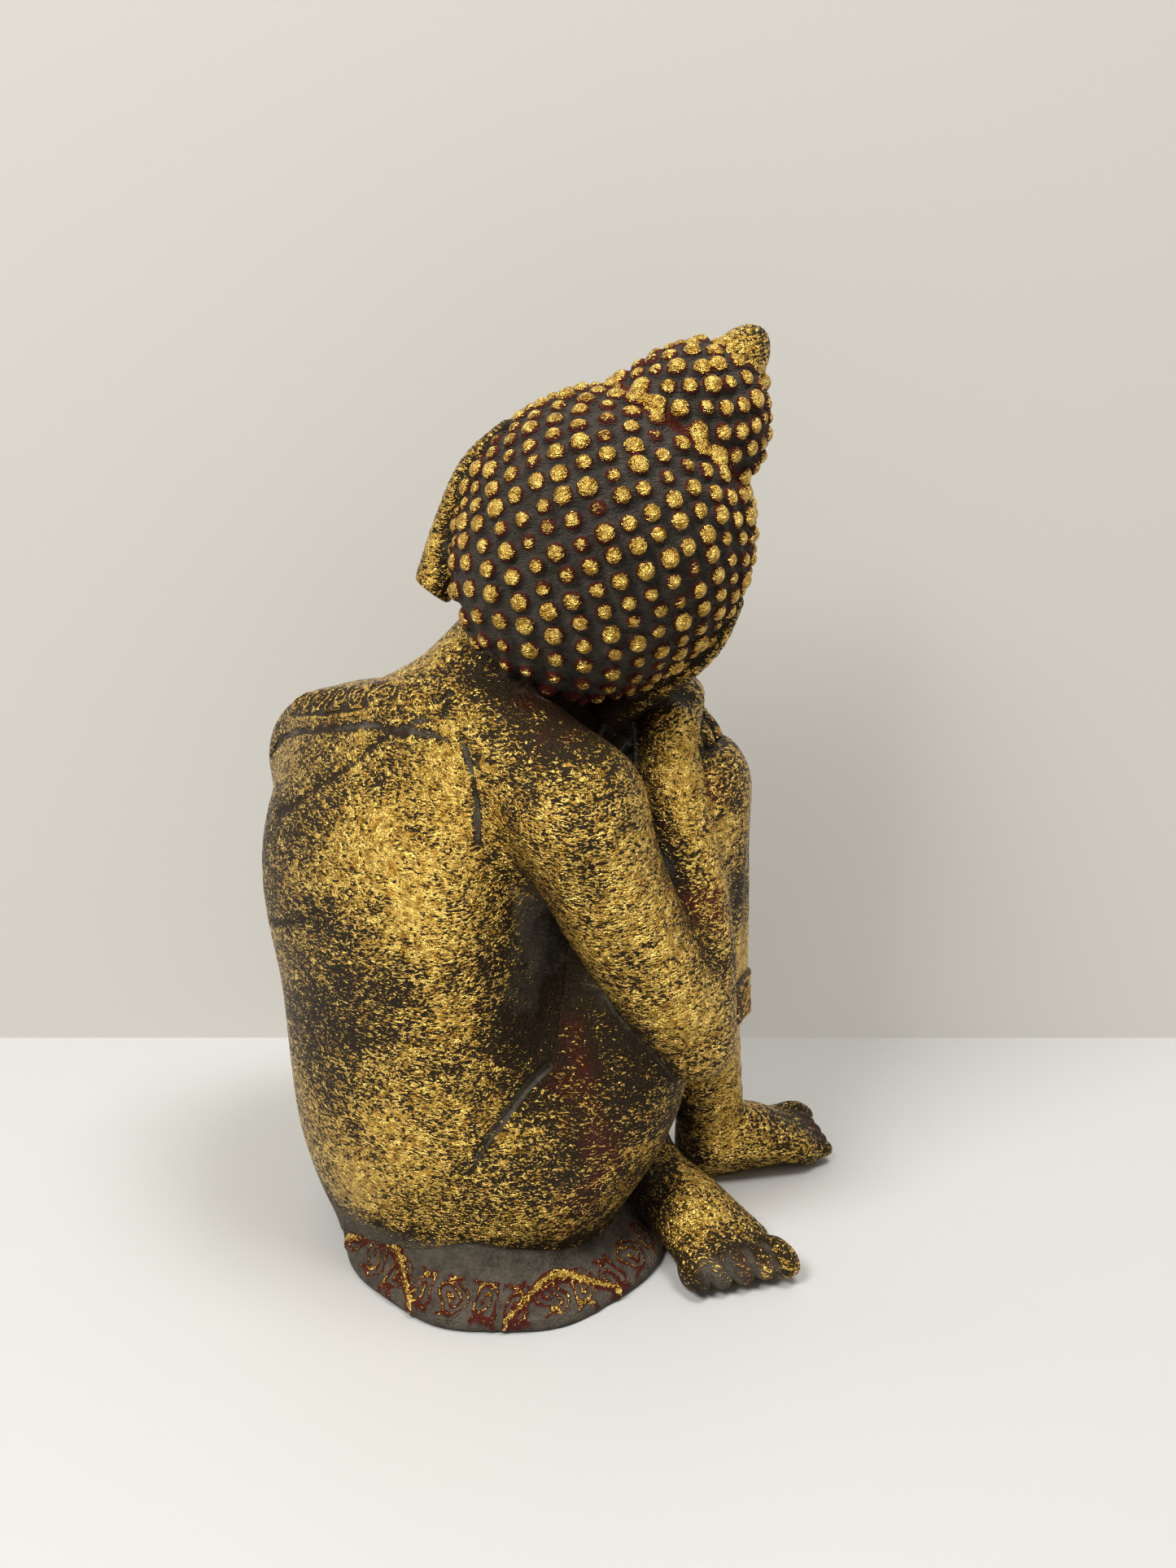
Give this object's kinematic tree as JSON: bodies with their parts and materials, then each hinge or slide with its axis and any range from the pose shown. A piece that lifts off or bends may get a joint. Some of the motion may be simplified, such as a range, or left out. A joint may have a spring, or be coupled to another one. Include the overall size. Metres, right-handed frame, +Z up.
{
  "type": "resting buddha statue",
  "caption": "Seated buddha figure asleep with its head on its raised knee, snail-shell curls and topknot, gilded and rubbed, on a flared seat base.",
  "frame": {"origin": "on the table, under the middle of the statue's footprint", "axes": "+Z up; the figure's trunk and knees face -Y; its right side is -X"},
  "size_m": [0.131, 0.1266, 0.2006],
  "materials": {
    "gold_leaf": "gold leaf rubbed through to dark lacquer",
    "rubbed_gold": "gold leaf worn thin over oxblood lacquer",
    "gilded_curls": "grey-brown patina with gold on the tops",
    "patina": "grey-brown dusty patina over oxblood lacquer",
    "raw_resin": "unpainted cast resin"
  },
  "bodies": {
    "root": {"seat_base": "patina", "torso": "gold_leaf", "neck_dowel": "raw_resin", "head": "gold_leaf", "hair_cap": "gilded_curls", "ushnisha": "gilded_curls", "finial": "gold_leaf", "ear_left": "gold_leaf", "ear_right": "gold_leaf", "arm_right": "gold_leaf", "arm_left": "rubbed_gold", "hand_right": "gold_leaf", "hand_left": "gold_leaf", "leg_right": "rubbed_gold", "leg_left": "rubbed_gold", "foot_right": "gold_leaf", "foot_left": "gold_leaf", "drape_hem": "patina", "knee_drape": "rubbed_gold", "shoulder_sash": "rubbed_gold"}
  },
  "joints": []
}
